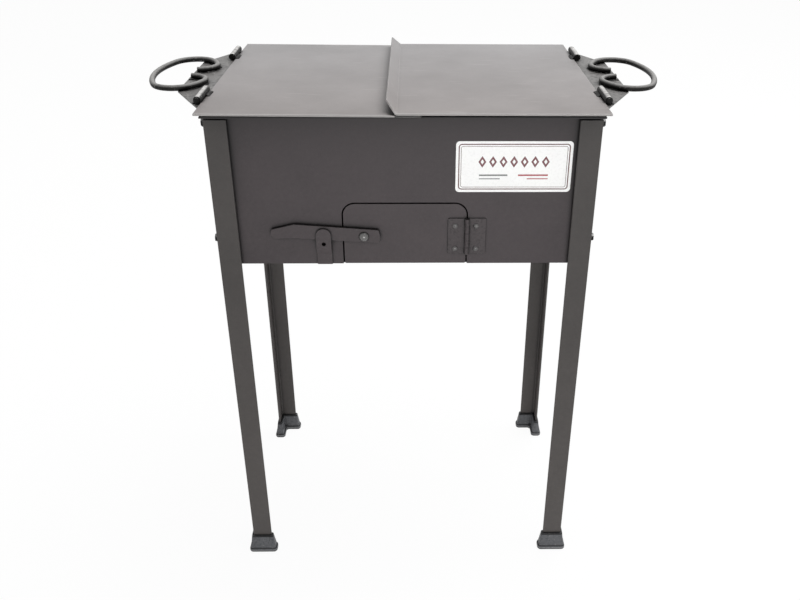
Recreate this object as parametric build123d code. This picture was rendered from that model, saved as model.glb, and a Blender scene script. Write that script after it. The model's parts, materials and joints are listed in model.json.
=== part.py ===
from build123d import *
import math
import os

os.makedirs("parts", exist_ok=True)

# Standing frame of the object, millimetres, floor at height zero
leg_span_x = 513.0
leg_span_y = 342.0
leg_flange = 30.0
leg_wall = 3.0
leg_root_radius = 3.0
leg_toe_radius = 1.2

# Foot caps
foot_height = 32.0
foot_floor = 5.0
foot_lip_height = 9.0
foot_lip_grow = 8.0
foot_neck_grow = 6.0
foot_top_grow = 2.6
foot_slot_clearance = 0.1
foot_corner_radius = 2.5
foot_lip_corner = 6.0
foot_lip_round = 4.2
foot_sole_round = 3.0
foot_neck_sink = 2.5

# Sheet and fire box
sheet = 2.0
box_half_x = leg_span_x / 2 - leg_wall
panel_setback = 8.0
box_half_y = leg_span_y / 2 - panel_setback
box_bottom = 530.0
box_top = 749.0
leg_drop = 12.5
leg_top = box_top - leg_drop
rim_overhang = 29.5
rim_half_y = leg_span_y / 2 + rim_overhang
rim_inner_bend = 1.0

# Leg fasteners
bolt_radius = 3.0
bolt_hole_radius = 3.25
bolt_across_flats = 10.0
bolt_head_height = 4.0
bolt_length = 15.0
nut_height = 5.0
washer_radius = 6.25
washer_height = 1.6
bolt_inset = 17.0
bolt_below_top = 8.0
bolt_above_bottom = 36.0
bolt_high = leg_top - bolt_below_top
bolt_low = box_bottom + bolt_above_bottom

# End plates that carry the handles and the lids
end_plate_top = box_top + sheet
end_plate_lap = 14.0
end_plate_lip = 0.5
end_plate_out = 49.5
end_plate_root_out = 10.0
end_plate_inner = box_half_x - end_plate_lap
end_plate_ledge = box_half_x + end_plate_lip
end_plate_reach = leg_span_x / 2 + end_plate_out
end_plate_root_y = leg_span_y / 2 + end_plate_root_out
end_plate_tip_y = 84.0
end_plate_tip_round = 2.5

# Carrying handles: arc radii from the middle of the loop round to the hook, and their angles
bar_radius = 4.0
loop_out = 50.0
loop_reach = end_plate_reach + loop_out
loop_outer_radius = 170.0
loop_corner_radius = 31.0
loop_return_radius = 74.0
hook_radius = 25.0
hook_tail = 2.0
loop_outer_angle = 23.0
loop_corner_angle = 122.0
loop_return_angle = 19.0
hook_angle = 100.0
bar_bead_height = 1.2
bar_bead_length = 12.0
bar_bead_width = 7.0

# Lids
lid_gap = 0.3
lid_over_x = 3.5
lid_over_y = 32.2
lid_half_x = leg_span_x / 2 + lid_over_x
lid_half_y = leg_span_y / 2 + lid_over_y
lid_corner = 2.0
left_free_edge = 21.8
fold_line = -9.6
fold_outer_radius = 5.0
fold_inner_radius = 3.0
lip_slant = 19.6
lip_angle = 48.5
lip_chamfer = 17.7
lid_bottom = end_plate_top + lid_gap

# Barrel hinges of the lids
barrel_radius = 5.0
barrel_x = lid_half_x + barrel_radius
barrel_axis_z = end_plate_top + lid_gap + barrel_radius
barrel_near_y = 94.0
barrel_far_y = 151.0
knuckle_gap = 0.4
lid_pin_radius = 2.5
lid_pin_clearance = 0.06
pin_head_radius = 3.4
pin_head_height = 1.2

# Ash door and its opening
door_half_x = 84.0
door_rise = 88.8
door_top = box_bottom + door_rise
door_corner = 16.0
door_gap = 2.0
door_lift = 0.5
door_floor_relief = 1.0

# Butt hinge of the door
hinge_x = door_half_x + door_gap / 2
hinge_rise = 15.5
hinge_length = 52.5
hinge_low = box_bottom + hinge_rise
hinge_high = hinge_low + hinge_length
hinge_leaf = 26.0
hinge_leaf_sheet = 1.5
hinge_barrel_radius = 3.2
hinge_pin_radius = 1.5
hinge_pin_clearance = 0.06
hinge_knuckles = 5
hinge_knuckle_gap = 0.4
hinge_relief = 0.5
door_rivet_offset = 16.0
panel_rivet_offset = 12.5
rivet_below_top = 11.0
rivet_above_bottom = 7.5
rivet_high = hinge_high - rivet_below_top
rivet_low = hinge_low + rivet_above_bottom
rivet_shank = 2.0
rivet_head = 4.0
rivet_head_height = 1.9

# Latch
lever_sheet = 3.0
lever_standoff = 2.5
lever_round = 2.2
lever_nose = 127.5
lever_nose_rise = 2.5
lever_tip = 125.8
lever_tip_rise = 10.7
lever_peak = 94.5
lever_peak_rise = 18.1
lever_butt_top = 20.2
lever_butt_rise = 9.5
lever_butt = 22.6
lever_butt_fall = 1.5
lever_heel = 20.0
lever_heel_fall = 9.5
lever_waist = 95.5
lever_waist_fall = 1.9
lever_chin = 122.0
lever_chin_fall = 2.7
latch_x = -56.2
latch_rise = 43.0
latch_z = box_bottom + latch_rise
latch_shank = 3.0
latch_running = 0.06
latch_head = 7.2
latch_head_height = 5.0
latch_head_gap = 0.3
keeper_offset = 55.2
keeper_x = latch_x - keeper_offset
keeper_width = 20.5
keeper_rise = 12.5
keeper_top = latch_z + keeper_rise
keeper_sheet = 2.5
keeper_clearance = 0.6
keeper_foot = 16.0
keeper_joggle = 11.0
keeper_foot_top = box_bottom + keeper_foot
keeper_joggle_top = keeper_foot_top + keeper_joggle
keeper_seat_radius = 5.0
keeper_seat_gap = 0.3
keeper_hole_radius = 2.9

# Grates and their ledges
rail_leg = 25.0
rail_drop = 18.0
rail_wall = 2.0
rail_setback = 8.0
rail_half_y = box_half_y - rail_setback
charcoal_share = 0.457
cooking_depth = 35.0
charcoal_level = box_bottom + charcoal_share * (box_top - box_bottom)
cooking_level = box_top - cooking_depth
charcoal_margin_x = 12.0
charcoal_margin_y = 7.0
charcoal_half_x = box_half_x - charcoal_margin_x
charcoal_half_y = box_half_y - charcoal_margin_y
charcoal_plate = 3.0
charcoal_corner = 6.0
slot_width = 12.0
slot_columns = 17
slot_edge_x = 24.0
slot_edge_y = 27.0
slot_row_gap = 22.0
slot_pitch = 2 * (charcoal_half_x - slot_edge_x) / (slot_columns - 1)
slot_length = charcoal_half_y - slot_edge_y - slot_row_gap / 2
slot_row_offset = (slot_length + slot_row_gap) / 2
cooking_margin_x = 14.0
cooking_margin_y = 9.0
cooking_half_x = box_half_x - cooking_margin_x
cooking_half_y = box_half_y - cooking_margin_y
frame_corner = 18.0
frame_rod = 3.0
wire_rod = 2.0
wire_edge = 14.7
wire_count = 30
wire_pitch = 2 * (cooking_half_x - wire_edge) / (wire_count - 1)
wire_overlap = 2.0
end_wire_overlap = 6.0
cross_rod_share = 0.39
cross_rod_offset = cooking_half_y * cross_rod_share
weld_sink = 0.6

front = -box_half_y
leg_corner_x = -leg_span_x / 2
leg_corner_y = -leg_span_y / 2


def save(name, shapes):
    if len(shapes) == 1:
        export_step(shapes[0], "parts/" + name + ".step")
    else:
        export_step(Compound(children=shapes), "parts/" + name + ".step")


def block(x0, x1, y0, y1, z0, z1):
    return Pos((x0 + x1) / 2, (y0 + y1) / 2, (z0 + z1) / 2) * Box(x1 - x0, y1 - y0, z1 - z0)


def rod_along_y(x, z, radius, y0, y1):
    return Pos(x, (y0 + y1) / 2, z) * Rot(90, 0, 0) * Cylinder(radius, y1 - y0)


def rod_along_x(y, z, radius, x0, x1):
    return Pos((x0 + x1) / 2, y, z) * Rot(0, 90, 0) * Cylinder(radius, x1 - x0)


def prism_along_x(points, x0, x1):
    outline = Plane.YZ * make_face(Polyline(*points, close=True))
    return Pos(x0, 0, 0) * extrude(outline, x1 - x0)


def prism_along_y(points, y0, y1):
    outline = Plane.XZ * make_face(Polyline(*points, close=True))
    return Pos(0, y0, 0) * extrude(outline, -(y1 - y0))


def to_right(shape):
    return mirror(shape, about=Plane.YZ)


def to_back(shape):
    return mirror(shape, about=Plane.XZ)


# Angle section with its heel at the origin, grown outward by a set amount
def angle_section(grow, outer_round, root_round):
    far = leg_flange + grow
    near = leg_wall + grow
    points = [(-grow, -grow), (far, -grow), (far, near), (near, near), (near, far), (-grow, far)]
    face = make_face(Polyline(*points, close=True))
    root = face.vertices().filter_by(lambda v: abs(v.X - near) < 1e-6 and abs(v.Y - near) < 1e-6)
    face = fillet(root, root_round)
    corners = []
    for vertex in face.vertices():
        on_far = abs(vertex.X - far) < 1e-6 or abs(vertex.Y - far) < 1e-6
        on_heel = abs(vertex.X + grow) < 1e-6 and abs(vertex.Y + grow) < 1e-6
        if on_far or on_heel:
            corners.append(vertex)
    return fillet(corners, outer_round)


# Leg of the front left corner, with two bolt holes in its side flange
leg_profile = Pos(leg_corner_x, leg_corner_y) * angle_section(0.0, leg_toe_radius, leg_root_radius)
leg = Pos(0, 0, foot_floor) * extrude(leg_profile, leg_top - foot_floor)
bolt_y = leg_corner_y + bolt_inset
for height in (bolt_high, bolt_low):
    leg -= rod_along_x(bolt_y, height, bolt_hole_radius, leg_corner_x - 1, leg_corner_x + leg_wall + 1)

# Foot cap of the front left corner
lip_face = angle_section(foot_lip_grow, foot_lip_corner, foot_lip_corner)
neck_face = angle_section(foot_neck_grow, foot_corner_radius, foot_corner_radius)
crown_face = angle_section(foot_top_grow, foot_corner_radius, foot_corner_radius)
lip = extrude(lip_face, foot_lip_height)
lip = fillet(lip.edges().filter_by(lambda e: abs(e.center().Z - foot_lip_height) < 1e-4), foot_lip_round)
lip = fillet(lip.edges().filter_by(lambda e: abs(e.center().Z) < 1e-4), foot_sole_round)
neck_low = Pos(0, 0, foot_lip_height - foot_neck_sink) * neck_face
neck_high = Pos(0, 0, foot_height) * crown_face
neck = loft([neck_low.face(), neck_high.face()])
foot = lip + neck
slot = angle_section(foot_slot_clearance, leg_toe_radius, leg_root_radius)
foot -= Pos(0, 0, foot_floor) * extrude(slot, foot_height)
foot = Pos(leg_corner_x, leg_corner_y, 0) * foot

save("front_left_leg", [leg])
save("front_right_leg", [to_right(leg)])
save("rear_left_leg", [to_back(leg)])
save("rear_right_leg", [to_back(to_right(leg))])
save("front_left_foot", [foot])
save("front_right_foot", [to_right(foot)])
save("rear_left_foot", [to_back(foot)])
save("rear_right_foot", [to_back(to_right(foot))])

# Bolt, washer and nut sets of all four legs
hex_face = RegularPolygon(bolt_across_flats / 2, 6, major_radius=False)
bolts = []
washers = []
nuts = []
leg_face = leg_corner_x
for height in (bolt_high, bolt_low):
    head_seat = leg_face - washer_height
    head = extrude(hex_face, bolt_head_height)
    head_rim = head.edges().filter_by(lambda e: abs(e.center().Z - bolt_head_height) < 1e-4)
    head = chamfer(head_rim, 0.5)
    head = Pos(head_seat, bolt_y, height) * Rot(0, -90, 0) * head
    shank = rod_along_x(bolt_y, height, bolt_radius, head_seat - 0.5, head_seat + bolt_length)
    shank = chamfer(shank.edges().sort_by(Axis.X)[-1], 0.6)
    bolt = head + shank
    washer = rod_along_x(bolt_y, height, washer_radius, head_seat, leg_face)
    washer -= rod_along_x(bolt_y, height, bolt_radius + 0.2, head_seat - 1, leg_face + 1)
    inner_wall = -(box_half_x - sheet)
    nut = Pos(inner_wall, bolt_y, height) * Rot(0, 90, 0) * extrude(hex_face, nut_height)
    nut -= rod_along_x(bolt_y, height, bolt_radius, inner_wall - 1, inner_wall + nut_height + 1)
    for kind, piece in ((bolts, bolt), (washers, washer), (nuts, nut)):
        kind.append(piece)
        kind.append(to_right(piece))
        kind.append(to_back(piece))
        kind.append(to_back(to_right(piece)))
save("leg_bolts", bolts)
save("leg_washers", washers)
save("leg_nuts", nuts)

# End panels of the fire box
end_panel = block(-box_half_x, -box_half_x + sheet, -box_half_y, box_half_y, box_bottom, box_top)
for height in (bolt_high, bolt_low):
    for side in (-1, 1):
        hole_y = side * bolt_y
        end_panel -= rod_along_x(hole_y, height, bolt_hole_radius, -box_half_x - 1, -box_half_x + sheet + 1)
save("left_end_panel", [end_panel])
save("right_end_panel", [to_right(end_panel)])

# Rear panel with its rim folded outward under the lids, and the same blank for the front
inner_x = box_half_x - sheet


def rimmed_panel():
    outside = -box_half_y
    inside = outside + sheet
    under = box_top - sheet
    points = [
        (outside, box_bottom),
        (inside, box_bottom),
        (inside, box_top),
        (-rim_half_y, box_top),
        (-rim_half_y, under),
        (outside, under),
    ]
    panel = prism_along_x(points, -inner_x, inner_x)
    along_x = panel.edges().filter_by(Axis.X)
    outer = along_x.filter_by(lambda e: abs(e.center().Y - inside) < 1e-4 and abs(e.center().Z - box_top) < 1e-4)
    inner = along_x.filter_by(lambda e: abs(e.center().Y - outside) < 1e-4 and abs(e.center().Z - under) < 1e-4)
    panel = fillet(outer, rim_inner_bend + sheet)
    panel = fillet(panel.edges().filter_by(Axis.X).sort_by_distance(inner[0].center())[0], rim_inner_bend)
    rim_end = block(inner_x, box_half_x, -rim_half_y, outside - rim_inner_bend, under, box_top)
    return panel + rim_end + to_right(rim_end)


save("rear_panel", [to_back(rimmed_panel())])

opening_half = door_half_x + door_gap
opening_top = door_top + door_gap
front_panel = rimmed_panel()
opening = block(-opening_half, opening_half, front - 5, front + 8, box_bottom - 1, opening_top)
opening_rounds = opening.edges().filter_by(Axis.Y).sort_by(Axis.Z)[-2:]
opening = fillet(opening_rounds, door_corner + door_gap)
front_panel -= opening
for height in (rivet_high, rivet_low):
    front_panel -= rod_along_y(hinge_x + panel_rivet_offset, height, rivet_shank, front - 1, front + sheet + 1)
save("front_panel", [front_panel])

# Floor of the fire box, relieved behind the door
floor_front = front + sheet
floor = block(-inner_x, inner_x, floor_front, -floor_front, box_bottom, box_bottom + sheet)
floor -= block(-opening_half, opening_half, floor_front - 1, floor_front + door_floor_relief, box_bottom - 1, box_bottom + sheet + 1)
save("firebox_floor", [floor])

# End plates: a strip along the box end with a trapezoid that carries the handle
plate_points = [
    (end_plate_inner, -end_plate_root_y),
    (end_plate_ledge, -end_plate_root_y),
    (end_plate_reach, -end_plate_tip_y),
    (end_plate_reach, end_plate_tip_y),
    (end_plate_ledge, end_plate_root_y),
    (end_plate_inner, end_plate_root_y),
]
end_plate = Pos(0, 0, box_top) * extrude(make_face(Polyline(*plate_points, close=True)), sheet)
tips = end_plate.edges().filter_by(Axis.Z).filter_by(lambda e: e.center().X > end_plate_reach - 1)
end_plate = fillet(tips, end_plate_tip_round)
save("right_handle_plate", [end_plate])
save("left_handle_plate", [to_right(end_plate)])

# Carrying handle: one round bar, folded back in a hairpin at each end
half_loop = [
    (loop_outer_radius, loop_outer_angle),
    (loop_corner_radius, loop_corner_angle),
    (loop_return_radius, loop_return_angle),
    (hook_radius, hook_angle),
]
bar_axis_z = end_plate_top + bar_radius
place = Vector(loop_reach, 0)
heading = Vector(0, -1)
front_half = []
for radius, angle in half_loop:
    arc = JernArc(start=place, tangent=heading, radius=radius, arc_size=-angle)
    front_half.append(arc)
    place = arc @ 1
    heading = arc % 1
front_half.append(Line(place, place + heading * hook_tail))
bar_line = Curve() + front_half
bar_line += to_back(bar_line)
bar_path = Pos(0, 0, bar_axis_z) * Wire(bar_line.edges())
bar_start = Plane(origin=bar_path @ 0, z_dir=bar_path % 0)
handle = sweep(bar_start * Circle(bar_radius), path=bar_path)
hook_tip = front_half[-1] @ 1
hook_bend = front_half[-2] @ 0.12
for spot in (hook_tip, hook_bend):
    for side in (-1, 1):
        bead = Box(bar_bead_width, bar_bead_length, bar_bead_height)
        bead_z = end_plate_top + bar_bead_height / 2
        handle += Pos(spot.X, side * abs(spot.Y), bead_z) * bead
save("right_handle", [handle])
save("left_handle", [to_right(handle)])

# Barrel hinges of the right lid: plate knuckle outboard, lid knuckle inboard
split_y = (barrel_near_y + barrel_far_y) / 2


def plate_knuckle(side):
    y0 = split_y + knuckle_gap / 2
    y1 = barrel_far_y
    knuckle = rod_along_y(barrel_x, barrel_axis_z, barrel_radius, y0, y1)
    bead = block(barrel_x - 3.6, barrel_x + 3.6, y0 + 3, y1 - 2, end_plate_top, end_plate_top + bar_bead_height)
    knuckle += bead
    knuckle -= rod_along_y(barrel_x, barrel_axis_z, lid_pin_radius, y0 - 1, y1 + 1)
    return knuckle if side > 0 else to_back(knuckle)


def lid_knuckle(side):
    y0 = barrel_near_y
    y1 = split_y - knuckle_gap / 2
    knuckle = rod_along_y(barrel_x, barrel_axis_z, barrel_radius, y0, y1)
    bead_low = lid_bottom + sheet
    bead_high = barrel_axis_z - 1.0
    points = [
        (barrel_x - 10.0, bead_low),
        (barrel_x - 3.6, bead_low),
        (barrel_x - 3.6, bead_high),
        (barrel_x - 5.4, bead_high),
    ]
    knuckle += prism_along_y(points, y0 + 2, y1 - 2)
    knuckle -= rod_along_y(barrel_x, barrel_axis_z, lid_pin_radius + lid_pin_clearance, y0 - 1, y1 + 1)
    return knuckle if side > 0 else to_back(knuckle)


def lid_pin(side):
    pin = rod_along_y(barrel_x, barrel_axis_z, lid_pin_radius, barrel_near_y, barrel_far_y)
    head = rod_along_y(barrel_x, barrel_axis_z, pin_head_radius, barrel_far_y, barrel_far_y + pin_head_height)
    head = fillet(head.edges().sort_by(Axis.Y)[-1], 0.6)
    pin += head
    return pin if side > 0 else to_back(pin)


plate_knuckles = [plate_knuckle(-1), plate_knuckle(1)]
lid_knuckles = [lid_knuckle(-1), lid_knuckle(1)]
lid_pins = [lid_pin(-1), lid_pin(1)]
save("right_plate_knuckles", plate_knuckles)
save("right_hinge_pins", lid_pins)
save("left_plate_knuckles", [to_right(piece) for piece in plate_knuckles])
save("left_hinge_pins", [to_right(piece) for piece in lid_pins])

# Left lid: its free edge drops onto the rims of the box, so it slopes a little toward the middle
left_axis = Axis((-barrel_x, 0, barrel_axis_z), (0, 1, 0))
left_slope = math.degrees(math.atan2(sheet, barrel_x + left_free_edge))
left_lid = block(-lid_half_x, left_free_edge, -lid_half_y, lid_half_y, lid_bottom, lid_bottom + sheet)
left_lid = fillet(left_lid.edges().filter_by(Axis.Z), lid_corner)
save("left_lid", [left_lid.rotate(left_axis, left_slope)])
left_knuckles = [to_right(piece).rotate(left_axis, left_slope) for piece in lid_knuckles]
save("left_lid_knuckles", left_knuckles)

# Right lid, laid flat first: a lip is bent up along its free edge
bend = math.radians(lip_angle)
along = (-math.cos(bend), math.sin(bend))
across = (math.sin(bend), math.cos(bend))
fold_shift = sheet * math.tan(bend / 2)
tip = (fold_line + lip_slant * along[0], lid_bottom + lip_slant * along[1])
tip_upper = (tip[0] + sheet * across[0], tip[1] + sheet * across[1])
lid_points = [
    (lid_half_x, lid_bottom),
    (fold_line, lid_bottom),
    tip,
    tip_upper,
    (fold_line + fold_shift, lid_bottom + sheet),
    (lid_half_x, lid_bottom + sheet),
]
right_lid = prism_along_y(lid_points, -lid_half_y, lid_half_y)
outer_bend = right_lid.edges().filter_by(Axis.Y).filter_by(
    lambda e: abs(e.center().X - fold_line) < 1e-3 and abs(e.center().Z - lid_bottom) < 1e-3
)
right_lid = fillet(outer_bend, fold_outer_radius)
inner_bend = right_lid.edges().filter_by(Axis.Y).filter_by(
    lambda e: abs(e.center().X - fold_line - fold_shift) < 1e-3 and abs(e.center().Z - lid_bottom - sheet) < 1e-3
)
right_lid = fillet(inner_bend, fold_inner_radius)
lip_rise = tip_upper[1] - lid_bottom - sheet
for side in (-1, 1):
    cut_low = lid_bottom + sheet + 0.6
    points = [
        (side * (lid_half_y + 1), cut_low),
        (side * lid_half_y, cut_low),
        (side * (lid_half_y - lip_chamfer * 1.3), cut_low + lip_rise * 1.3),
        (side * (lid_half_y + 1), cut_low + lip_rise * 1.3),
    ]
    right_lid -= prism_along_x(points, tip[0] - 2, fold_line + 4)
hinge_corners = right_lid.edges().filter_by(Axis.Z).filter_by(lambda e: e.center().X > lid_half_x - 1)
right_lid = fillet(hinge_corners, lid_corner)

# It lies on the left lid along the fold, so it is lifted a little there
drop_at_fold = (barrel_x + fold_line) * math.tan(math.radians(left_slope))
lift_at_fold = sheet + lid_gap - drop_at_fold
right_lean = math.degrees(math.atan2(lift_at_fold, barrel_x - fold_line))
right_axis = Axis((barrel_x, 0, barrel_axis_z), (0, 1, 0))
save("right_lid", [right_lid.rotate(right_axis, right_lean)])
save("right_lid_knuckles", [piece.rotate(right_axis, right_lean) for piece in lid_knuckles])

# Ash door
door = block(-door_half_x, door_half_x, front, front + sheet, box_bottom + door_lift, door_top)
door_edges = door.edges().filter_by(Axis.Y).sort_by(Axis.Z)
door = fillet(door_edges[-2:], door_corner)
door = fillet(door.edges().filter_by(Axis.Y).sort_by(Axis.Z)[:2], 2.0)
for height in (rivet_high, rivet_low):
    door -= rod_along_y(hinge_x - door_rivet_offset, height, rivet_shank, front - 1, front + sheet + 1)
door -= rod_along_y(latch_x, latch_z, latch_shank, front - 1, front + sheet + 1)
save("ash_door", [door])

# Butt hinge of the door
hinge_axis_y = front - hinge_barrel_radius
knuckle_length = (hinge_high - hinge_low) / hinge_knuckles


def hinge_half(direction, first):
    reach = hinge_x + direction * hinge_leaf
    low_x = min(hinge_x, reach)
    high_x = max(hinge_x, reach)
    half = block(low_x, high_x, front - hinge_leaf_sheet, front, hinge_low, hinge_high)
    far_edges = half.edges().filter_by(Axis.Y).filter_by(lambda e: abs(e.center().X - reach) < 1e-3)
    half = fillet(far_edges, 2.0)
    relief = hinge_barrel_radius + hinge_relief
    for index in range(hinge_knuckles):
        low = hinge_low + index * knuckle_length
        high = low + knuckle_length
        own = index % 2 == first
        if own:
            trim = hinge_knuckle_gap / 2
            barrel = Pos(hinge_x, hinge_axis_y, (low + high) / 2)
            barrel = barrel * Cylinder(hinge_barrel_radius, knuckle_length - 2 * trim)
            half += barrel
        else:
            half -= block(hinge_x - relief, hinge_x + relief, front - 8, front + 1, low, high)
    for index in range(1, hinge_knuckles):
        edge = hinge_low + index * knuckle_length
        slit = block(
            hinge_x - relief,
            hinge_x + relief,
            front - 8,
            front + 1,
            edge - hinge_knuckle_gap / 2,
            edge + hinge_knuckle_gap / 2,
        )
        half -= slit
    bore = hinge_pin_radius if first == 0 else hinge_pin_radius + hinge_pin_clearance
    middle = (hinge_low + hinge_high) / 2
    half -= Pos(hinge_x, hinge_axis_y, middle) * Cylinder(bore, hinge_high - hinge_low + 4)
    rivet_x = hinge_x + panel_rivet_offset if direction > 0 else hinge_x - door_rivet_offset
    for height in (rivet_high, rivet_low):
        half -= rod_along_y(rivet_x, height, rivet_shank, front - 4, front + 1)
    return half


fixed_leaf = hinge_half(1, 0)
moving_leaf = hinge_half(-1, 1)
save("door_hinge_fixed_leaf", [fixed_leaf])
save("door_hinge_moving_leaf", [moving_leaf])
hinge_middle = (hinge_low + hinge_high) / 2
hinge_pin = Pos(hinge_x, hinge_axis_y, hinge_middle) * Cylinder(hinge_pin_radius, hinge_high - hinge_low + 1.2)
hinge_pin = fillet(hinge_pin.edges().filter_by(GeomType.CIRCLE), 0.5)
save("door_hinge_pin", [hinge_pin])


# Round-head rivet through a stack of sheets, head in front and a flat tail behind
def rivet(x, z, head_face, tail_face, shank, head_radius, head_height):
    body = rod_along_y(x, z, shank, head_face, tail_face)
    sphere_radius = (head_radius**2 + head_height**2) / (2 * head_height)
    ball = Pos(x, head_face - head_height + sphere_radius, z) * Sphere(sphere_radius)
    keep = rod_along_y(x, z, head_radius, head_face - head_height - 1, head_face)
    dome = ball & keep
    tail = rod_along_y(x, z, shank * 1.6, tail_face, tail_face + 1.2)
    return body + dome + tail


leaf_face = front - hinge_leaf_sheet
back_face = front + sheet
for name, offset in (("fixed_leaf_rivets", panel_rivet_offset), ("door_leaf_rivets", -door_rivet_offset)):
    pair = []
    for height in (rivet_high, rivet_low):
        pair.append(rivet(hinge_x + offset, height, leaf_face, back_face, rivet_shank, rivet_head, rivet_head_height))
    save(name, pair)

# Latch rivet, lever and keeper strap
lever_back = front - lever_standoff
lever_front = lever_back - lever_sheet
latch_head_face = lever_front - latch_head_gap
spacer = rod_along_y(latch_x, latch_z, latch_shank + 1.2, lever_back + 0.05, front)
latch_rivet = rivet(latch_x, latch_z, latch_head_face, back_face, latch_shank, latch_head, latch_head_height)
save("latch_rivet", [latch_rivet + spacer])

lever_low_right = (latch_x + lever_heel, latch_z - lever_heel_fall)
lever_low_left = (latch_x - lever_waist, latch_z - lever_waist_fall)
lever_points = [
    (latch_x - lever_nose, latch_z + lever_nose_rise),
    (latch_x - lever_tip, latch_z + lever_tip_rise),
    (latch_x - lever_peak, latch_z + lever_peak_rise),
    (latch_x + lever_butt_top, latch_z + lever_butt_rise),
    (latch_x + lever_butt, latch_z - lever_butt_fall),
    lever_low_right,
    lever_low_left,
    (latch_x - lever_chin, latch_z - lever_chin_fall),
]
lever = prism_along_y(lever_points, lever_front, lever_back)
lever = fillet(lever.edges().filter_by(Axis.Y), lever_round)
lever -= rod_along_y(latch_x, latch_z, latch_shank + latch_running, lever_front - 1, lever_back + 1)
save("latch_lever", [lever])

strap_back = lever_front - keeper_clearance
strap_front = strap_back - keeper_sheet
strap_points = [
    (front, box_bottom + 0.2),
    (front - keeper_sheet, box_bottom + 0.2),
    (front - keeper_sheet, keeper_foot_top),
    (strap_front, keeper_joggle_top),
    (strap_front, keeper_top),
    (strap_back, keeper_top),
    (strap_back, keeper_joggle_top - 1.2),
    (front, keeper_foot_top - 1.2),
]
half_width = keeper_width / 2
strap = prism_along_x(strap_points, keeper_x - half_width, keeper_x + half_width)
strap_round = strap.edges().filter_by(Axis.Y).sort_by(Axis.Z)[-2:]
strap = fillet(strap_round, half_width - 0.5)

# The lever rests on a hollow boss between the strap and the panel
lever_slope = (lever_low_left[1] - lever_low_right[1]) / (lever_low_left[0] - lever_low_right[0])
lever_underside = lever_low_right[1] + lever_slope * (keeper_x - lever_low_right[0])
keeper_hole_z = lever_underside - keeper_seat_gap - keeper_seat_radius
strap += rod_along_y(keeper_x, keeper_hole_z, keeper_seat_radius, strap_front + 1, front)
strap -= rod_along_y(keeper_x, keeper_hole_z, keeper_hole_radius, strap_front - 1, front + 1)
save("latch_keeper", [strap])

# Ledges for both grates, welded to the end panels
for name, level in (("charcoal_grate_rails", charcoal_level), ("cooking_grate_rails", cooking_level)):
    outer = -inner_x
    points = [
        (outer, level),
        (outer + rail_leg, level),
        (outer + rail_leg, level - rail_wall),
        (outer + rail_wall, level - rail_wall),
        (outer + rail_wall, level - rail_drop),
        (outer, level - rail_drop),
    ]
    rail = prism_along_y(points, -rail_half_y, rail_half_y)
    save(name, [rail, to_right(rail)])

# Charcoal grate: a slotted plate
charcoal = block(
    -charcoal_half_x,
    charcoal_half_x,
    -charcoal_half_y,
    charcoal_half_y,
    charcoal_level + lid_gap,
    charcoal_level + lid_gap + charcoal_plate,
)
charcoal = fillet(charcoal.edges().filter_by(Axis.Z), charcoal_corner)
slot_face = SlotOverall(slot_length, slot_width, rotation=90)
slots = Sketch() + [
    Pos((column - (slot_columns - 1) / 2) * slot_pitch, row * slot_row_offset) * slot_face
    for column in range(slot_columns)
    for row in (-1, 1)
]
charcoal -= Pos(0, 0, charcoal_level - 2) * extrude(slots, 10)
save("charcoal_grate", [charcoal])

# Cooking grate: a rod frame with cross rods and a row of wires
frame_z = cooking_level + lid_gap + frame_rod
frame_outline = RectangleRounded(
    2 * (cooking_half_x - frame_rod),
    2 * (cooking_half_y - frame_rod),
    frame_corner,
)
frame_path = Pos(0, 0, frame_z) * frame_outline.wire()
frame_start = frame_path @ 0
frame_plane = Plane(origin=frame_start, z_dir=frame_path % 0)
grate = sweep(frame_plane * Circle(frame_rod), path=frame_path)
wire_z = frame_z + frame_rod + wire_rod - weld_sink
for index in range(wire_count):
    x = (index - (wire_count - 1) / 2) * wire_pitch
    reach = cooking_half_y - wire_overlap
    if abs(x) > cooking_half_x - frame_corner - wire_rod:
        reach = cooking_half_y - end_wire_overlap
    grate += rod_along_y(x, wire_z, wire_rod, -reach, reach)
for side in (-1, 1):
    grate += rod_along_x(side * cross_rod_offset, frame_z, frame_rod, wire_overlap - cooking_half_x, cooking_half_x - wire_overlap)
save("cooking_grate", [grate])
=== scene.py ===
import json
import math
import random
import bmesh
import bpy
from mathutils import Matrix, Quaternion, Vector


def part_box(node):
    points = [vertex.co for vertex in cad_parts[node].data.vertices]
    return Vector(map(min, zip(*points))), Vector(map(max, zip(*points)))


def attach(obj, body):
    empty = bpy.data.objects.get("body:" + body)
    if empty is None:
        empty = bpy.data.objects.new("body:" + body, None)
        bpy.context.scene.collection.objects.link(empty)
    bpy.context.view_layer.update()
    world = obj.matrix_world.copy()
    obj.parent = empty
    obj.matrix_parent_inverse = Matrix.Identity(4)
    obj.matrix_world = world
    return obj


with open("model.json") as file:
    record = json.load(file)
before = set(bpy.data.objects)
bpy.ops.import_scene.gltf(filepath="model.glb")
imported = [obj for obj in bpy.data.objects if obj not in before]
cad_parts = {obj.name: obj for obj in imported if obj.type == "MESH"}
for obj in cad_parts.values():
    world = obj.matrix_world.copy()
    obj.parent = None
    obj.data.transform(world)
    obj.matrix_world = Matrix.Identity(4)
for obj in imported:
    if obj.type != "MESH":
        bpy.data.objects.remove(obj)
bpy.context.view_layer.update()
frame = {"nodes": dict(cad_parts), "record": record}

mm = 0.001


# Shader sockets that can be added, multiplied and compared like numbers

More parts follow.
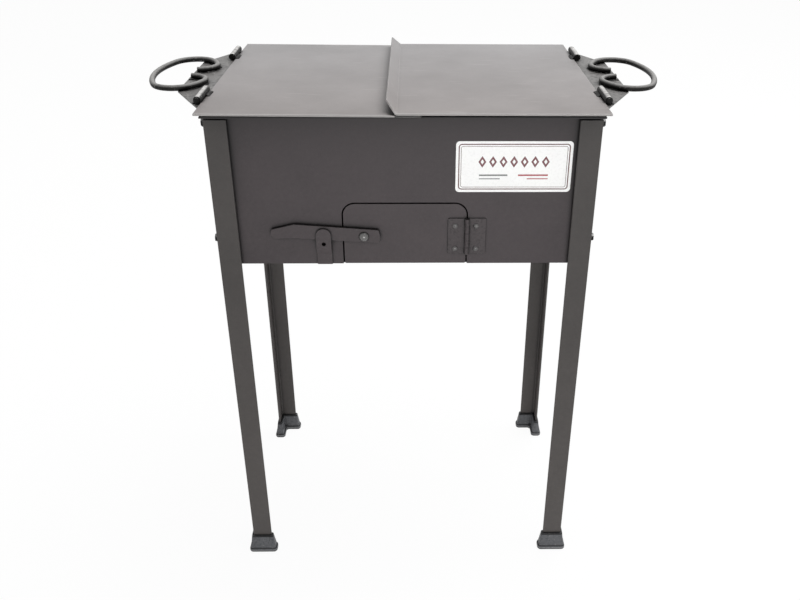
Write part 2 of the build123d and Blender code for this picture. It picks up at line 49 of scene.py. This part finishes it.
class Signal:
    def __init__(self, tree, socket):
        self.tree = tree
        self.socket = socket

    def math(self, operation, *terms, clamp=False):
        settings = {"operation": operation, "use_clamp": clamp}
        return self.tree.add("Math", settings, dict(enumerate(terms)))

    def __add__(self, other):
        return self.math("ADD", self, other)

    def __radd__(self, other):
        return self.math("ADD", other, self)

    def __sub__(self, other):
        return self.math("SUBTRACT", self, other)

    def __rsub__(self, other):
        return self.math("SUBTRACT", other, self)

    def __mul__(self, other):
        return self.math("MULTIPLY", self, other)

    def __rmul__(self, other):
        return self.math("MULTIPLY", other, self)

    def __truediv__(self, other):
        return self.math("DIVIDE", self, other)

    def __rtruediv__(self, other):
        return self.math("DIVIDE", other, self)

    def __pow__(self, other):
        return self.math("POWER", self, other)

    def __lt__(self, other):
        return self.math("LESS_THAN", self, other)

    def __gt__(self, other):
        return self.math("GREATER_THAN", self, other)

    def __abs__(self):
        return self.math("ABSOLUTE", self)

    def least(self, other):
        return self.math("MINIMUM", self, other)

    def most(self, other):
        return self.math("MAXIMUM", self, other)

    def within(self, low, high):                     # 0 at low, 1 at high, clamped
        return self.math("MULTIPLY", self - low, 1.0 / (high - low), clamp=True)


class Tree:                                          # the node tree of a material or of the world
    def __init__(self, owner):
        owner.use_nodes = True
        self.nodes = owner.node_tree.nodes
        self.links = owner.node_tree.links

    def add(self, kind, settings=None, inputs=None, output=0):
        node = self.nodes.new("ShaderNode" + kind)
        for key, value in (settings or {}).items():
            setattr(node, key, value)
        for key, value in (inputs or {}).items():
            self.feed(node.inputs[key], value)
        return Signal(self, node.outputs[output])

    def feed(self, socket, value):
        if isinstance(value, Signal):
            self.links.new(value.socket, socket)
        elif socket.type == "RGBA":
            socket.default_value = (*value, 1)
        else:
            socket.default_value = value

    def mix(self, amount, first, second, mode="MIX"):
        settings = {"data_type": "RGBA", "blend_type": mode}
        return self.add("Mix", settings, {0: amount, 6: first, 7: second}, output=2)

    def noise(self, scale, detail=3.0, rough=0.5, stretch=None):
        place = self.add("TexCoord", output="Object")
        if stretch:
            place = self.add("Mapping", None, {"Vector": place, "Scale": stretch})
        inputs = {"Vector": place, "Scale": scale, "Detail": detail, "Roughness": rough}
        return self.add("TexNoise", None, inputs)

    def directRay(self):                             # seen straight on, reflected or through glass
        kinds = ("Camera", "Glossy", "Transmission")
        rays = [self.add("LightPath", output="Is " + kind + " Ray") for kind in kinds]
        return rays[0].most(rays[1]).most(rays[2])

    def openness(self, reach, samples):              # 1 in the open, 0 in a closed corner
        return self.add("AmbientOcclusion", {"samples": samples}, {"Distance": reach}, output="AO")

    def axes(self):                                  # x, y and z of the point, in metres
        place = self.add("TexCoord", output="Object")
        return [self.add("SeparateXYZ", None, {0: place}, output=i) for i in range(3)]


class Finish(Tree):                                  # a material with one Principled shader
    def __init__(self, name):
        self.material = bpy.data.materials.new(name)
        Tree.__init__(self, self.material)
        self.shader = self.nodes["Principled BSDF"]

    def set(self, **values):
        for key, value in values.items():
            self.feed(self.shader.inputs[key.replace("_", " ")], value)

    def bump(self, height, distance, normal=None):
        inputs = {"Height": height, "Distance": distance}
        if normal:
            inputs["Normal"] = normal
        self.set(Normal=self.add("Bump", None, inputs))


# Painted and coated surfaces: one shader, one dictionary of values for each material

boxLook = {
    "dark": (0.0335, 0.0268, 0.0287), "light": (0.0605, 0.0494, 0.0522),
    "edge": (0.012, 0.011, 0.011), "edgeStrength": 0.7, "round": 0.5 * mm,
    "bare": (0.3, 0.29, 0.28), "chips": 0.35,
    # colour of the painted shade in corners, gaps and under the lids, and of the dark pores
    "paintedShadeAndPore": (0.002, 0.0018, 0.0018), "paintedShadeReach": 10.0 * mm,
    "paintedShadeFrom": 0.2, "paintedShadeTo": 0.38,
    "underLidShade": 1.5, "underLidShadeReach": 120.0 * mm,
    "roughness": 0.5, "gloss": 0.3, "metal": 0.0,
    "cloud": 1.2, "grain": 1100.0, "relief": 0.05 * mm,
    "marks": 0.0, "specks": 0.3, "speckScale": 620.0, "pits": 0.0, "poreScale": 330.0,
    "topSheen": 0.0, "topSheenFrom": 0.35, "topSheenAbove": None, "topSheenCover": (0.3, 0.6),
    "topSheenColour": (0.26, 0.255, 0.25),
    "frontShade": None, "lowLight": 1.0, "rimHighlight": 0.0, "lapFrom": None,
    # painted shade along the box rim just under the lids
    "paintedRings": ((748.0, 3.5, 0.0, 0.6),),              # height, half width, tint, strength
}
# The lids wear the box's paint; their paler colours are painted sheen for the bright room they
# reflect, and their pale edge colour is painted highlight.
sheenLidLook = dict(
    boxLook, dark=(0.16, 0.153, 0.153), light=(0.252, 0.244, 0.246),
    edge=(0.5, 0.49, 0.48), edgeStrength=0.85, round=1.1 * mm,
    paintedShadeAndPore=(0.004, 0.0035, 0.0035), underLidShade=0.0, roughness=0.42, gloss=0.22,
    cloud=1.5, marks=0.09, specks=0.4, frontShade=(0.92, 0.875, 0.85), rimHighlight=0.4, paintedRings=(),
)
# The handle plates are paler than the box's paint as painted sheen, like the lids.
sheenPlateLook = dict(
    sheenLidLook, dark=(0.08, 0.0765, 0.074), light=(0.185, 0.18, 0.176),
    edge=(0.02, 0.019, 0.018), round=0.5 * mm,
    paintedShadeAndPore=(0.006, 0.0055, 0.005), paintedShadeReach=24.0 * mm, paintedShadeFrom=0.08,
    marks=0.0, specks=3.0, speckScale=300.0, pits=0.5, poreScale=175.0, frontShade=None, rimHighlight=0.0,
)
legLook = dict(
    boxLook, dark=(0.0415, 0.0372, 0.0352), light=(0.0635, 0.0572, 0.0543),
    edgeStrength=1.0, round=1.3 * mm, lowLight=1.3, paintedRings=(),
)
doorLook = dict(boxLook, dark=(0.0365, 0.029, 0.0308), light=(0.0645, 0.0528, 0.0556))
hingeLook = dict(
    boxLook, dark=(0.032, 0.0258, 0.0272), light=(0.064, 0.0532, 0.0556),
    edge=(0.006, 0.0055, 0.005), edgeStrength=1.0, chips=1.0, specks=0.8, pits=0.3,
)
hingeRivetLook = dict(
    hingeLook, dark=(0.03, 0.0265, 0.027), light=(0.11, 0.103, 0.103),
    round=0.8 * mm, chips=0.6, roughness=0.28, gloss=0.7, specks=1.5,
)
barLook = dict(
    boxLook, dark=(0.005, 0.0048, 0.0045), light=(0.018, 0.0173, 0.0165),
    round=0.3 * mm, underLidShade=0.0, gloss=0.12,
    specks=2.4, speckScale=380.0, pits=0.9, poreScale=210.0,
    topSheen=0.95, topSheenFrom=0.3, topSheenCover=(0.1, 0.45), topSheenColour=(0.23, 0.226, 0.22),
)
barrelLook = dict(
    barLook, dark=(0.003, 0.0028, 0.0026), light=(0.012, 0.0115, 0.011), chips=0.8,
    topSheen=1.0, topSheenFrom=0.68, topSheenAbove=757.0 * mm, topSheenCover=(0.2, 0.55),
    topSheenColour=(0.47, 0.46, 0.45),
)
weldPaintLook = dict(barLook, topSheen=0.0, specks=3.0, round=0.2 * mm)
footLook = dict(
    boxLook, dark=(0.068, 0.07, 0.076), light=(0.145, 0.148, 0.156),
    edge=(0.006, 0.006, 0.0065), edgeStrength=0.9, round=1.3 * mm, chips=0.5,
    paintedShadeReach=6.0 * mm, paintedShadeFrom=0.15, underLidShade=0.0,
    roughness=0.44, gloss=0.2, grain=2200.0,
    specks=2.4, speckScale=330.0, pits=0.35, poreScale=420.0,
    # painted shade in the foot's creases and at its sole, painted highlight below its lip
    paintedRings=(
        (30.6, 1.9, 0.0, 0.95), (7.6, 1.1, 0.0, 0.75),
        (4.7, 1.1, 0.32, 0.5), (0.9, 2.0, 0.0, 1.0),
    ),
)
rivetLook = dict(
    boxLook, dark=(0.06, 0.058, 0.057), light=(0.2, 0.195, 0.192),
    edge=(0.004, 0.0038, 0.0036), edgeStrength=0.9, round=1.6 * mm,
    paintedShadeFrom=0.1, underLidShade=0.0, roughness=0.17, gloss=0.8, metal=0.45, specks=1.0,
)
zincLook = dict(
    boxLook, dark=(0.004, 0.0039, 0.0038), light=(0.03, 0.0295, 0.0285),
    edge=(0.003, 0.0028, 0.0026), edgeStrength=1.0, round=0.7 * mm, chips=0.2,
    paintedShadeFrom=0.15, underLidShade=0.0, roughness=0.4, gloss=0.15,
    topSheen=1.0, topSheenFrom=0.5, topSheenColour=(0.85, 0.84, 0.83),
)

# Where each effect of the coating and each painted light or shade starts and ends, the same on
# every surface
coatRange = {
    "edge": (0.02, 0.3), "scuff": (0.66, 0.74), "pore": (0.54, 0.66), "speck": (0.68, 0.74),
    "chip": (0.56, 0.64), "topSheenEnd": 0.95, "frontShadeDepth": (-200.0 * mm, 200.0 * mm),
    "rimHighlightDepth": (198.5 * mm, 203.0 * mm), "lapDepth": 202.4 * mm,
    "lowLightHeight": (500.0 * mm, 100.0 * mm), "underLidShadeHeight": (600.0 * mm, 700.0 * mm),
    "paintedRingCore": 0.4,                                 # inner share of a band at full strength
}

# Scales of the shared noises and how much each one counts
coatNoise = {
    "cloudScale": 9.0, "mottleScale": 160.0, "scuffScale": 70.0, "scuffStretch": (0.3, 1.3, 1.0),
    "mottleTone": 0.8, "grainTone": 0.6, "speckTone": 0.25, "paintedShadeTone": 0.95,
    "mottleRough": 0.16, "cloudRough": 0.12, "grainRelief": 0.6,
}


def coated(name, look):
    paint = Finish(name)
    span = coatRange
    share = coatNoise
    cloud = paint.noise(share["cloudScale"], detail=4.0, rough=0.6)
    mottle = paint.noise(share["mottleScale"], detail=4.0, rough=0.6)
    grain = paint.noise(look["grain"], detail=2.0)
    rounded = paint.add("Bevel", {"samples": 4}, {"Radius": look["round"]})
    trueNormal = paint.add("NewGeometry", output="Normal")
    facing = paint.add("VectorMath", {"operation": "DOT_PRODUCT"}, {0: rounded, 1: trueNormal},
                       output="Value")
    edge = (1 - facing).within(*span["edge"])
    across, depth, height = paint.axes()

    tone = ((cloud - 0.5) * look["cloud"] + (mottle - 0.5) * share["mottleTone"]
            + (grain - 0.5) * share["grainTone"] + 0.5)
    colour = paint.mix(tone.within(0.0, 1.0), look["dark"], look["light"])
    if look["marks"]:                                # short pale scuffs
        scuff = paint.noise(share["scuffScale"], detail=2.0, rough=0.4,
                            stretch=share["scuffStretch"]).within(*span["scuff"])
        colour = paint.mix(scuff * look["marks"], colour, look["edge"])
    if look["frontShade"]:                                 # painted shade: warmer and darker towards the front
        nearTint = paint.mix(depth.within(*span["frontShadeDepth"]), look["frontShade"], (1, 1, 1))
        colour = paint.mix(1.0, colour, nearTint, mode="MULTIPLY")
    if look["pits"]:                                 # dark pores
        pore = paint.noise(look["poreScale"], detail=1.0).within(*span["pore"]) * look["pits"]
        colour = paint.mix(pore, colour, look["paintedShadeAndPore"])
    speck = paint.noise(look["speckScale"], detail=1.0).within(*span["speck"]) * look["specks"]
    colour = paint.mix((speck * share["speckTone"]).least(1.0), colour, look["bare"])
    if look["topSheen"]:                                 # painted highlight: upper sides are paler, in patches
        upward = paint.add("TexCoord", output="Normal")
        rise = paint.add("SeparateXYZ", None, {0: upward}, output=2)
        sheenOnTop = rise.within(look["topSheenFrom"], span["topSheenEnd"])
        sheenOnTop = sheenOnTop * mottle.within(*look["topSheenCover"]) * look["topSheen"]
        if look["topSheenAbove"]:
            sheenOnTop = sheenOnTop * (height > look["topSheenAbove"])
        colour = paint.mix(sheenOnTop, colour, look["topSheenColour"])
    for level, half, tint, strength in look["paintedRings"]:  # painted shade and painted highlight in rings at given heights
        ring = abs(height / mm - level).within(half, half * span["paintedRingCore"]) * strength
        colour = paint.mix(ring, colour, (tint, tint, tint))
    if look["rimHighlight"]:                              # painted highlight along front and back edges
        rim = abs(depth).within(*span["rimHighlightDepth"]) * look["rimHighlight"]
        colour = paint.mix(rim, colour, look["edge"])
    if look["lapFrom"]:                              # front edge shaded where the other lid laps
        lap = (across > look["lapFrom"]) * (abs(depth) > span["lapDepth"])
        colour = paint.mix(lap, colour, look["paintedShadeAndPore"])
    if look["lowLight"] != 1.0:                       # painted light: paler towards the ground
        low = height.within(*span["lowLightHeight"]) * (look["lowLight"] - 1.0) + 1.0
        colour = paint.add("VectorMath", {"operation": "SCALE"}, {0: colour, "Scale": low})
    # painted shade along the rounded edges of the dark parts and painted highlight along those of
    # the lids; the same mask places the chips
    colour = paint.mix(edge * look["edgeStrength"], colour, look["edge"])
    chip = edge * mottle.within(*span["chip"]) * look["chips"]
    colour = paint.mix(chip, colour, look["bare"])
    if look["underLidShade"]:                              # painted shade under the lids, in the upper part of the box
        openAbove = paint.openness(look["underLidShadeReach"], 4)
        closed = (1 - openAbove ** look["underLidShade"]) * height.within(*span["underLidShadeHeight"])
        colour = paint.mix(closed, colour, look["paintedShadeAndPore"])
    # painted shade in corners, creases and gaps, darker where little open room is near
    hidden = 1 - paint.openness(look["paintedShadeReach"], 6)
    shade = hidden.within(look["paintedShadeFrom"], look["paintedShadeTo"]) * share["paintedShadeTone"]

    paint.set(Base_Color=paint.mix(shade, colour, look["paintedShadeAndPore"]))
    paint.set(Specular_IOR_Level=look["gloss"], Metallic=look["metal"])
    paint.set(Roughness=look["roughness"] + (mottle - 0.5) * share["mottleRough"]
              + (cloud - 0.5) * share["cloudRough"])
    paint.bump(grain * share["grainRelief"] + mottle, look["relief"], normal=rounded)
    return paint.material


# Chromed wire and raw plate of the grates

wireLook = {
    "dark": (0.5, 0.5, 0.49), "light": (0.66, 0.66, 0.65), "metal": 1.0,
    "roughness": 0.2, "roughVary": 0.14, "cloudScale": 60.0,
    "grain": 900.0, "relief": 0.02 * mm,
}
rawPlateLook = {
    "dark": (0.035, 0.036, 0.04), "light": (0.075, 0.073, 0.072), "metal": 0.35,
    "roughness": 0.55, "roughVary": 0.3, "cloudScale": 30.0, "cloudRange": (0.3, 0.7),
    "grain": 400.0, "relief": 0.06 * mm,
}


def chromedWire(name, look):
    wire = Finish(name)
    cloud = wire.noise(look["cloudScale"])
    wire.set(Base_Color=wire.mix(cloud, look["dark"], look["light"]), Metallic=look["metal"])
    wire.set(Roughness=look["roughness"] + (cloud - 0.5) * look["roughVary"])
    wire.bump(wire.noise(look["grain"]), look["relief"])
    return wire.material


def rawPlate(name, look):
    plate = Finish(name)
    cloud = plate.noise(look["cloudScale"], detail=5.0, rough=0.65)
    scale = plate.noise(look["grain"])
    plate.set(Base_Color=plate.mix(cloud.within(*look["cloudRange"]), look["dark"], look["light"]))
    plate.set(Metallic=look["metal"])
    plate.set(Roughness=look["roughness"] + (scale - 0.5) * look["roughVary"])
    plate.bump(scale, look["relief"])
    return plate.material


# Every material, by the slot or the node that wears it

finishes = {
    "box_steel": coated("boxSteel", boxLook),
    "lid_steel": coated("lidSteel", sheenLidLook),
    "leg_steel": coated("legSteel", legLook),
    "door_steel": coated("doorSteel", doorLook),
    "hinge_steel": coated("hingeSteel", hingeLook),
    "bar_steel": coated("barSteel", barLook),
    "barrel_steel": coated("barrelSteel", barrelLook),
    "rivet_steel": coated("rivetSteel", rivetLook),
    "zinc": coated("zincPlate", zincLook),
    "foot_plastic": coated("footPlastic", footLook),
    "grate_iron": rawPlate("rawPlate", rawPlateLook),
    "wire_chrome": chromedWire("chromedWire", wireLook),
}
lapWidth = 33.0 * mm                                 # how far the right lid laps over the left one
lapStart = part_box("left_lid")[1].x - lapWidth
plateFinish = coated("plateSteel", sheenPlateLook)
hingeRivetFinish = coated("hingeRivetSteel", hingeRivetLook)
weldFinish = coated("weldSteel", weldPaintLook)
ownFinish = {
    "left_lid": coated("lappedLidSteel", dict(sheenLidLook, lapFrom=lapStart)),
    "left_handle_plate": plateFinish, "right_handle_plate": plateFinish,
    "door_leaf_rivets": hingeRivetFinish, "fixed_leaf_rivets": hingeRivetFinish,
}

for part in frame["record"]["subparts"]:
    node = frame["nodes"][part["node"]]
    node.data.materials.clear()
    node.data.materials.append(ownFinish.get(part["node"], finishes[part["material_slot"]]))
print("finishes on", len(frame["nodes"]), "nodes")


# The sticker on the front panel: white vinyl with a plain ruled design

stickerLook = {
    "left": 67.8 * mm, "right": 222.0 * mm, "low": 636.0 * mm, "high": 706.3 * mm,
    "corner": 5.0 * mm, "cornerSteps": 8, "thick": 0.25 * mm, "backGap": 0.01 * mm,
    "vinyl": (0.95, 0.95, 0.94), "vinylShade": (0.9, 0.9, 0.89),
    "keyline": (0.09, 0.02, 0.02), "lozenge": (0.13, 0.014, 0.024),
    "greyRule": (0.16, 0.17, 0.16), "redRule": (0.36, 0.03, 0.04),
    "roughness": 0.28, "roughVary": 0.1, "relief": 0.04 * mm,
    "shadeScale": 40.0, "glossScale": 300.0, "reliefScale": 120.0,
    # the design in millimetres from the middle of the sticker
    "keylines": ((4.2, 4.0, 1.5), (7.0, 2.5, 0.7)),  # inset, corner, width
    "rowMiddle": 7.0, "rowPitch": 14.0, "rowSpan": 50.0,
    "lozengeSize": (10.5, 16.0), "holeSize": (4.6, 7.0),
    # left, right, middle, height of each rule
    "greyRules": ((-46.0, -8.0, -11.5, 2.2), (-46.0, -18.0, -16.5, 1.4)),
    "redRules": ((6.0, 46.0, -11.5, 2.2), (18.0, 46.0, -16.5, 1.4)),
}


def meshObject(name, build, material):
    mesh = bpy.data.meshes.new(name)
    shape = bmesh.new()
    build(shape)
    shape.to_mesh(mesh)
    shape.free()
    mesh.materials.append(material)
    made = bpy.data.objects.new(name, mesh)
    bpy.context.scene.collection.objects.link(made)
    return made


def meshPiece(name, build, material, body, smooth=False):
    def buildClosed(shape):
        build(shape)
        bmesh.ops.recalc_face_normals(shape, faces=shape.faces)

    piece = meshObject(name, buildClosed, material)
    for face in piece.data.polygons:
        face.use_smooth = smooth
    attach(piece, body)


def stickerSurface(look):
    vinyl = Finish("stickerVinyl")
    x, _, z = vinyl.axes()
    halfWide = (look["right"] - look["left"]) / 2 / mm
    halfHigh = (look["high"] - look["low"]) / 2 / mm
    across = (x - (look["left"] + look["right"]) / 2) / mm
    up = (z - (look["low"] + look["high"]) / 2) / mm

    def ruledBox(inset, corner, width):              # outline of a rounded rectangle
        pastX = abs(across) - (halfWide - inset - corner)
        pastZ = abs(up) - (halfHigh - inset - corner)
        overX = pastX.most(0.0)
        overZ = pastZ.most(0.0)
        reach = (overX * overX + overZ * overZ) ** 0.5
        distance = reach + pastX.most(pastZ).least(0.0) - corner
        return abs(distance) < width / 2

    def lozengeRow(wide, high):
        cell = across.math("PINGPONG", across, look["rowPitch"] / 2)
        inside = (cell / (wide / 2) + abs(up - look["rowMiddle"]) / (high / 2)) < 1.0
        return inside * (abs(across) < look["rowSpan"])

    def rule(left, right, middle, high):
        return (across > left) * (across < right) * (abs(up - middle) < high / 2)

    def either(drawer, shapes):
        first, second = shapes
        return drawer(*first).most(drawer(*second))

    design = vinyl.mix(vinyl.noise(look["shadeScale"]), look["vinyl"], look["vinylShade"])
    design = vinyl.mix(either(ruledBox, look["keylines"]), design, look["keyline"])
    design = vinyl.mix(lozengeRow(*look["lozengeSize"]), design, look["lozenge"])
    design = vinyl.mix(lozengeRow(*look["holeSize"]), design, look["vinyl"])
    design = vinyl.mix(either(rule, look["greyRules"]), design, look["greyRule"])
    design = vinyl.mix(either(rule, look["redRules"]), design, look["redRule"])
    wear = vinyl.noise(look["glossScale"]) - 0.5
    vinyl.set(Base_Color=design, Roughness=look["roughness"] + wear * look["roughVary"])
    vinyl.bump(vinyl.noise(look["reliefScale"]), look["relief"])
    return vinyl.material


def buildSticker(shape):
    look = stickerLook
    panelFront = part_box("ash_door")[0].y
    inset = look["corner"]
    corners = [                                      # centre of each rounding and its first angle
        (look["right"] - inset, look["high"] - inset, 0),
        (look["left"] + inset, look["high"] - inset, 90),
        (look["left"] + inset, look["low"] + inset, 180),
        (look["right"] - inset, look["low"] + inset, 270),
    ]
    ring = []
    for x, z, firstAngle in corners:
        for step in range(look["cornerSteps"] + 1):
            angle = math.radians(firstAngle + 90 * step / look["cornerSteps"])
            ring.append((x + inset * math.cos(angle), z + inset * math.sin(angle)))
    face = shape.faces.new([shape.verts.new((x, panelFront - look["thick"], z)) for x, z in ring])
    grown = bmesh.ops.extrude_face_region(shape, geom=[face])
    for vert in [item for item in grown["geom"] if isinstance(item, bmesh.types.BMVert)]:
        vert.co.y = panelFront - look["backGap"]


meshPiece("stickerPlate", buildSticker, stickerSurface(stickerLook), "stand_and_box")
print("sticker placed")


# Weld beads of the handles and barrels: short chains of overlapping ripples

weldLook = {
    "radius": 1.7 * mm, "pitch": 1.25 * mm, "squash": 0.62, "jitter": 0.22, "seed": 41,
    "plateTop": 751.2 * mm, "lidTop": 753.4 * mm,
    "handleRuns": [                                  # start and end of each run, millimetres
        ((291.5, -79.6), (283.9, -70.6)), ((279.7, -60.0), (273.4, -48.5)),
        ((289.6, -66.4), (286.2, -58.0)), ((279.5, -24.6), (287.5, -17.3)),
        ((285.0, -30.4), (297.6, -23.2)), ((294.0, -14.4), (301.0, -13.6)),
    ],
    "plateRuns": [((270.6, 126.0), (270.6, 148.0))],
    "lidRuns": [((258.2, 97.0), (258.2, 119.5)), ((256.6, 98.0), (256.6, 108.0))],
}
weldChance = random.Random(weldLook["seed"])


def beadRun(shape, start, end, level):
    look = weldLook
    start = Vector((*start, 0)) * mm
    end = Vector((*end, 0)) * mm
    count = max(2, round((end - start).length / look["pitch"]))
    for index in range(count + 1):
        size = look["radius"] * (1 + weldChance.uniform(-1, 1) * look["jitter"])
        centre = start.lerp(end, index / count)
        centre.z = level
        ripple = bmesh.ops.create_icosphere(shape, subdivisions=2, radius=size)
        for vert in ripple["verts"]:
            vert.co.z *= look["squash"]
            vert.co += centre


def weldPiece(name, runs, corners, level, body):
    def build(shape):
        for sideX, sideY in corners:
            for run in runs:
                start, end = [(sideX * x, sideY * y) for x, y in run]
                beadRun(shape, start, end, level)

    meshPiece(name, build, weldFinish, body, smooth=True)


rightCorners = [(1, 1), (1, -1)]
leftCorners = [(-1, 1), (-1, -1)]
allCorners = rightCorners + leftCorners
plateTop = weldLook["plateTop"]
lidTop = weldLook["lidTop"]
weldPiece("handleWelds", weldLook["handleRuns"], allCorners, plateTop,
          "stand_and_box")
weldPiece("plateKnuckleWelds", weldLook["plateRuns"], allCorners, plateTop,
          "stand_and_box")
weldPiece("leftLidWelds", weldLook["lidRuns"], leftCorners, lidTop, "left_leaf")
weldPiece("rightLidWelds", weldLook["lidRuns"], rightCorners, lidTop, "right_leaf")
print("welds laid")


# Pale floor, lamps and world

studioLook = {
    "floorHalf": 14.0, "floorCells": 8, "floorColour": (0.86, 0.86, 0.86), "floorRoughness": 0.9,
    "floorGlow": 0.95, "worldLight": 0.4, "background": 1.0, "white": (1, 1, 1),
    "overhead": {"place": (1.5, 0.8, 4.2), "aim": (0, 0, 0.7), "size": 3.8, "power": 236.0},
    "front": {"place": (0.15, -2.25, 0.15), "aim": (0, 0, 0.62), "size": 1.4, "power": 27.0},
}


def buildFloor(shape):
    cells = studioLook["floorCells"]
    bmesh.ops.create_grid(shape, x_segments=cells, y_segments=cells, size=studioLook["floorHalf"])


floorPaint = Finish("paleFloor")
floorPaint.set(Base_Color=studioLook["floorColour"], Roughness=studioLook["floorRoughness"])
seen = floorPaint.directRay()
glow = floorPaint.add("Emission", None,
                      {"Color": studioLook["white"], "Strength": studioLook["background"]})
floorMix = floorPaint.add("MixShader", None, {0: seen * studioLook["floorGlow"], 2: glow})
floorPaint.links.new(floorPaint.shader.outputs[0], floorMix.socket.node.inputs[1])
floorPaint.links.new(floorMix.socket, floorPaint.nodes["Material Output"].inputs["Surface"])

floor = meshObject("floor", buildFloor, floorPaint.material)

world = bpy.data.worlds.new("studio")
bpy.context.scene.world = world
sky = Tree(world)
skySeen = sky.directRay()
light = sky.add("Background", None,
                {"Color": studioLook["white"], "Strength": studioLook["worldLight"]})
backdrop = sky.add("Background", None,
                   {"Color": studioLook["white"], "Strength": studioLook["background"]})
skyMix = sky.add("MixShader", None, {0: skySeen, 1: light, 2: backdrop})
sky.links.new(skyMix.socket, sky.nodes["World Output"].inputs["Surface"])


def softLamp(name, look):
    lamp = bpy.data.lights.new(name, "AREA")
    lamp.shape = "SQUARE"
    lamp.size = look["size"]
    lamp.energy = look["power"]
    holder = bpy.data.objects.new(name, lamp)
    holder.location = look["place"]
    way = Vector(look["aim"]) - Vector(look["place"])
    holder.rotation_mode = "QUATERNION"
    holder.rotation_quaternion = way.to_track_quat("-Z", "Y")
    bpy.context.scene.collection.objects.link(holder)


softLamp("overheadLamp", studioLook["overhead"])
softLamp("frontLamp", studioLook["front"])
bpy.context.scene.view_settings.view_transform = "Standard"
print("studio ready")


# Camera at the photograph's place

cameraLook = {
    "place": (0.0120, -1.2460, 1.0558),
    "down": 0.5030, "turn": 0.0214, "roll": 0.0067,  # radians
    "focalPixels": 858.0, "imageWide": 800.0, "sensor": 36.0,
    "centre": (430.1, 307.0), "imageCentre": (400.0, 300.0),
}


def placeCamera(look):
    wide = look["imageWide"]
    camera = bpy.data.cameras.new("photoCamera")
    camera.sensor_width = look["sensor"]
    camera.lens = look["focalPixels"] / wide * look["sensor"]
    camera.shift_x = (look["imageCentre"][0] - look["centre"][0]) / wide
    camera.shift_y = (look["centre"][1] - look["imageCentre"][1]) / wide
    holder = bpy.data.objects.new("photoCamera", camera)
    holder.location = look["place"]
    holder.rotation_mode = "QUATERNION"
    turned = Quaternion((0, 0, 1), -look["turn"])
    tilted = Quaternion((1, 0, 0), math.pi / 2 - look["down"])
    rolled = Quaternion((0, 0, 1), look["roll"])
    holder.rotation_quaternion = turned @ tilted @ rolled
    bpy.context.scene.collection.objects.link(holder)
    bpy.context.scene.camera = holder


placeCamera(cameraLook)
print("camera set")
